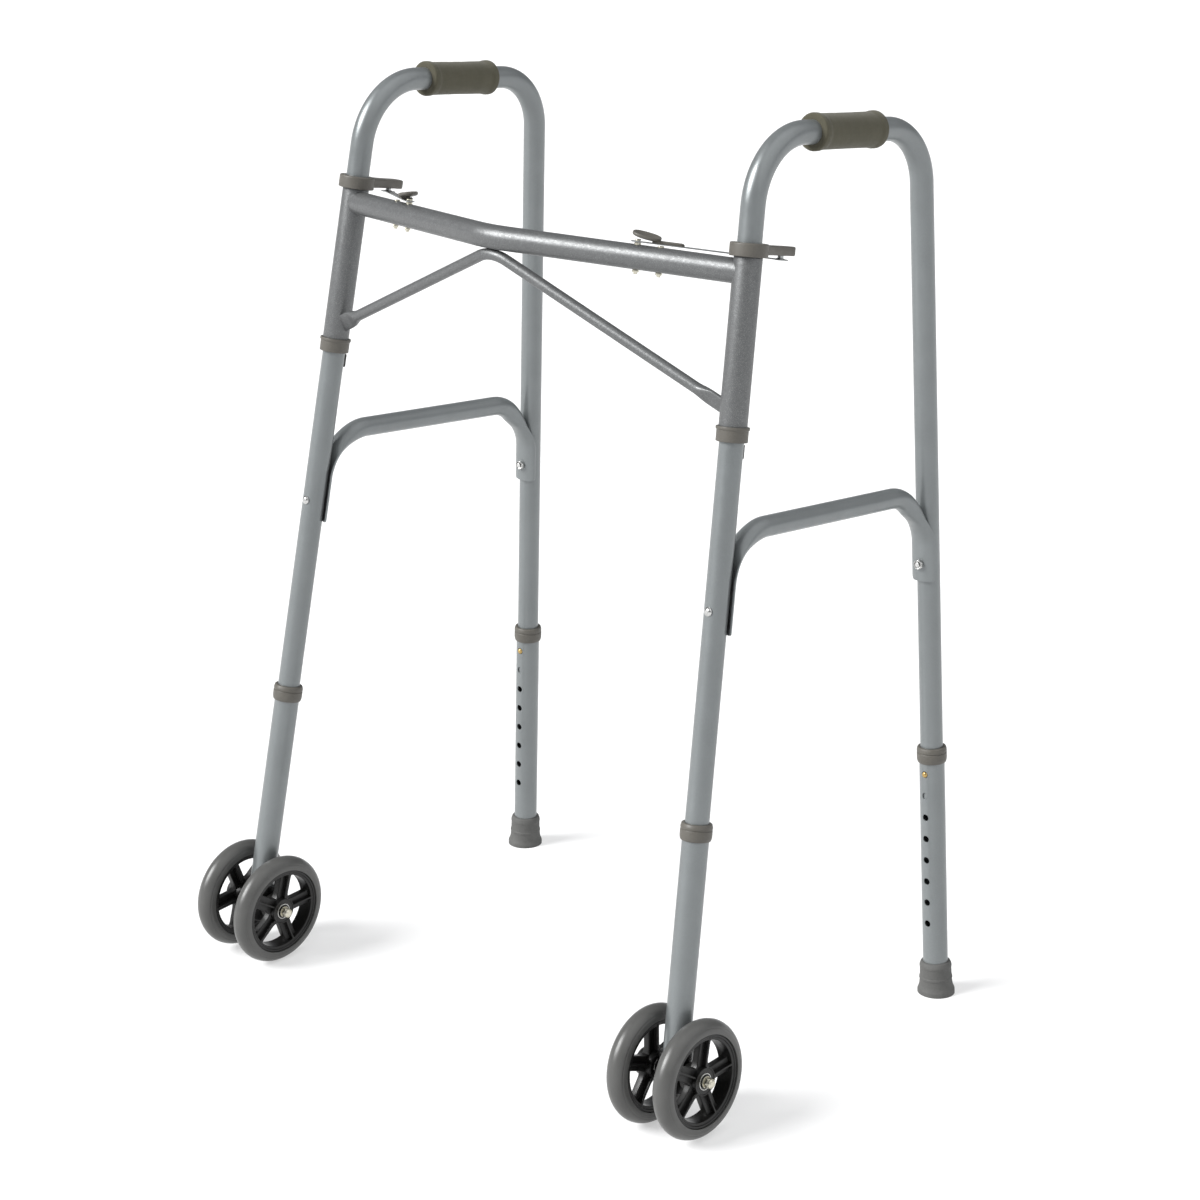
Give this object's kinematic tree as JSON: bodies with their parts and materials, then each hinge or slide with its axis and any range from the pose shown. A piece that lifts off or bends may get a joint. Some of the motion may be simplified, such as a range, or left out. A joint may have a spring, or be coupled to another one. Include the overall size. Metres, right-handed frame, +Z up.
{
  "type": "front wheeled walker",
  "caption": "Folding walking frame with two tube side frames, foam grips, a bowed crossbar, sliding leg extensions, dual front wheels and rubber rear tips.",
  "frame": {"origin": "on the floor, at the middle of the bounding box of the open walker", "axes": "+Z up, +Y towards the user, +X towards the user's left; the wheels are at -Y"},
  "size_m": [0.7434, 0.5305, 1.0109],
  "materials": {
    "side_tube": "satin silver-grey powder coat",
    "leg_extension": "satin silver-grey powder coat",
    "front_frame": "dark grey hammered paint with fine sparkle",
    "collar_plastic": "matt moulded plastic",
    "grip_foam": "closed-cell foam, matt",
    "tip_rubber": "moulded rubber",
    "tyre_rubber": "smooth solid tyre",
    "hub_plastic": "black moulded plastic, semi-matt",
    "stop_plastic": "black moulded plastic",
    "zinc_steel": "zinc plate, bright",
    "bearing_steel": "ground steel",
    "brass_button": "plain brass",
    "spring_steel": "rolled spring steel"
  },
  "bodies": {
    "front_frame": {"crossbar": "front_frame", "front_brace": "front_frame", "sleeve_left": "front_frame", "sleeve_right": "front_frame", "sleeve_bush_left": "collar_plastic", "sleeve_bush_right": "collar_plastic", "latch_screws": "zinc_steel"},
    "side_frame_left": {"side_tube_left": "side_tube", "side_brace_left": "side_tube", "grip_left": "grip_foam", "latch_collar_left": "collar_plastic", "leg_stop_left": "stop_plastic", "brace_bolts_left": "zinc_steel", "snap_springs_left": "spring_steel"},
    "front_leg_left": {"front_extension_left": "leg_extension", "front_collar_left": "collar_plastic", "axle_block_left": "hub_plastic", "axle_left": "zinc_steel", "axle_nuts_left": "zinc_steel"},
    "rear_leg_left": {"rear_extension_left": "leg_extension", "rear_collar_left": "collar_plastic", "rear_tip_left": "tip_rubber"},
    "wheel_inner_left": {"tyre_inner_left": "tyre_rubber", "hub_inner_left": "hub_plastic", "bearings_inner_left": "bearing_steel"},
    "wheel_outer_left": {"tyre_outer_left": "tyre_rubber", "hub_outer_left": "hub_plastic", "bearings_outer_left": "bearing_steel"},
    "front_button_left": {"front_button_left": "brass_button"},
    "rear_button_left": {"rear_button_left": "brass_button"},
    "latch_left": {"latch_strip_left": "spring_steel", "latch_pad_left": "collar_plastic"},
    "side_frame_right": {"side_tube_right": "side_tube", "side_brace_right": "side_tube", "grip_right": "grip_foam", "latch_collar_right": "collar_plastic", "leg_stop_right": "stop_plastic", "brace_bolts_right": "zinc_steel", "snap_springs_right": "spring_steel"},
    "front_leg_right": {"front_extension_right": "leg_extension", "front_collar_right": "collar_plastic", "axle_block_right": "hub_plastic", "axle_right": "zinc_steel", "axle_nuts_right": "zinc_steel"},
    "rear_leg_right": {"rear_extension_right": "leg_extension", "rear_collar_right": "collar_plastic", "rear_tip_right": "tip_rubber"},
    "wheel_inner_right": {"tyre_inner_right": "tyre_rubber", "hub_inner_right": "hub_plastic", "bearings_inner_right": "bearing_steel"},
    "wheel_outer_right": {"tyre_outer_right": "tyre_rubber", "hub_outer_right": "hub_plastic", "bearings_outer_right": "bearing_steel"},
    "front_button_right": {"front_button_right": "brass_button"},
    "rear_button_right": {"rear_button_right": "brass_button"},
    "latch_right": {"latch_strip_right": "spring_steel", "latch_pad_right": "collar_plastic"}
  },
  "joints": [
    {"name": "fold_left", "type": "hinge", "parent": "front_frame", "child": "side_frame_left", "pos_m": [0.28547, -0.07273, 0.79582], "axis": [-0.0464, 0.1736, 0.9837], "range_deg": [0, 90]},
    {"name": "front_leg_height_left", "type": "slide", "parent": "side_frame_left", "child": "front_leg_left", "axis": [-0.0464, 0.1736, 0.9837], "range_m": [0, 0.1778], "deforming": ["front_button_left"]},
    {"name": "rear_leg_height_left", "type": "slide", "parent": "side_frame_left", "child": "rear_leg_left", "axis": [-0.0471, -0.0209, 0.9987], "range_m": [0, 0.1778], "deforming": ["rear_button_left"]},
    {"name": "wheel_inner_left_spin", "type": "hinge", "parent": "front_leg_left", "child": "wheel_inner_left", "pos_m": [0.28872, -0.20175, 0.06344], "axis": [0.9989, 0, 0.0471], "continuous": true},
    {"name": "wheel_outer_left_spin", "type": "hinge", "parent": "front_leg_left", "child": "wheel_outer_left", "pos_m": [0.35115, -0.20175, 0.06639], "axis": [0.9989, 0, 0.0471], "continuous": true},
    {"name": "front_button_press_left", "type": "slide", "parent": "side_frame_left", "child": "front_button_left", "axis": [0.0082, 0.9848, -0.1735], "range_m": [-0.0031, 0], "stiffness_N_per_m": 1500, "springref_m": 0.0005, "deforming": ["snap_springs_left"]},
    {"name": "rear_button_press_left", "type": "slide", "parent": "side_frame_left", "child": "rear_button_left", "axis": [0.001, -0.9998, -0.0209], "range_m": [-0.0031, 0], "stiffness_N_per_m": 1500, "springref_m": 0.0005, "deforming": ["snap_springs_left"]},
    {"name": "latch_press_left", "type": "hinge", "parent": "front_frame", "child": "latch_left", "pos_m": [0.16407, -0.08888, 0.88578], "axis": [-0.569, 0.8106, -0.1385], "range_deg": [0, 2.3], "stiffness_Nm_per_rad": 30, "springref_deg": -1.15},
    {"name": "fold_right", "type": "hinge", "parent": "front_frame", "child": "side_frame_right", "pos_m": [-0.28547, -0.07273, 0.79582], "axis": [-0.0464, -0.1736, -0.9837], "range_deg": [0, 82]},
    {"name": "front_leg_height_right", "type": "slide", "parent": "side_frame_right", "child": "front_leg_right", "axis": [0.0464, 0.1736, 0.9837], "range_m": [0, 0.1778], "deforming": ["front_button_right"]},
    {"name": "rear_leg_height_right", "type": "slide", "parent": "side_frame_right", "child": "rear_leg_right", "axis": [0.0471, -0.0209, 0.9987], "range_m": [0, 0.1778], "deforming": ["rear_button_right"]},
    {"name": "wheel_inner_right_spin", "type": "hinge", "parent": "front_leg_right", "child": "wheel_inner_right", "pos_m": [-0.28872, -0.20175, 0.06344], "axis": [-0.9989, 0, 0.0471], "continuous": true},
    {"name": "wheel_outer_right_spin", "type": "hinge", "parent": "front_leg_right", "child": "wheel_outer_right", "pos_m": [-0.35115, -0.20175, 0.06639], "axis": [-0.9989, 0, 0.0471], "continuous": true},
    {"name": "front_button_press_right", "type": "slide", "parent": "side_frame_right", "child": "front_button_right", "axis": [-0.0082, 0.9848, -0.1735], "range_m": [-0.0031, 0], "stiffness_N_per_m": 1500, "springref_m": 0.0005, "deforming": ["snap_springs_right"]},
    {"name": "rear_button_press_right", "type": "slide", "parent": "side_frame_right", "child": "rear_button_right", "axis": [-0.001, -0.9998, -0.0209], "range_m": [-0.0031, 0], "stiffness_N_per_m": 1500, "springref_m": 0.0005, "deforming": ["snap_springs_right"]},
    {"name": "latch_press_right", "type": "hinge", "parent": "front_frame", "child": "latch_right", "pos_m": [-0.16407, -0.08888, 0.88578], "axis": [-0.569, -0.8106, 0.1385], "range_deg": [0, 2.3], "stiffness_Nm_per_rad": 30, "springref_deg": -1.15}
  ]
}
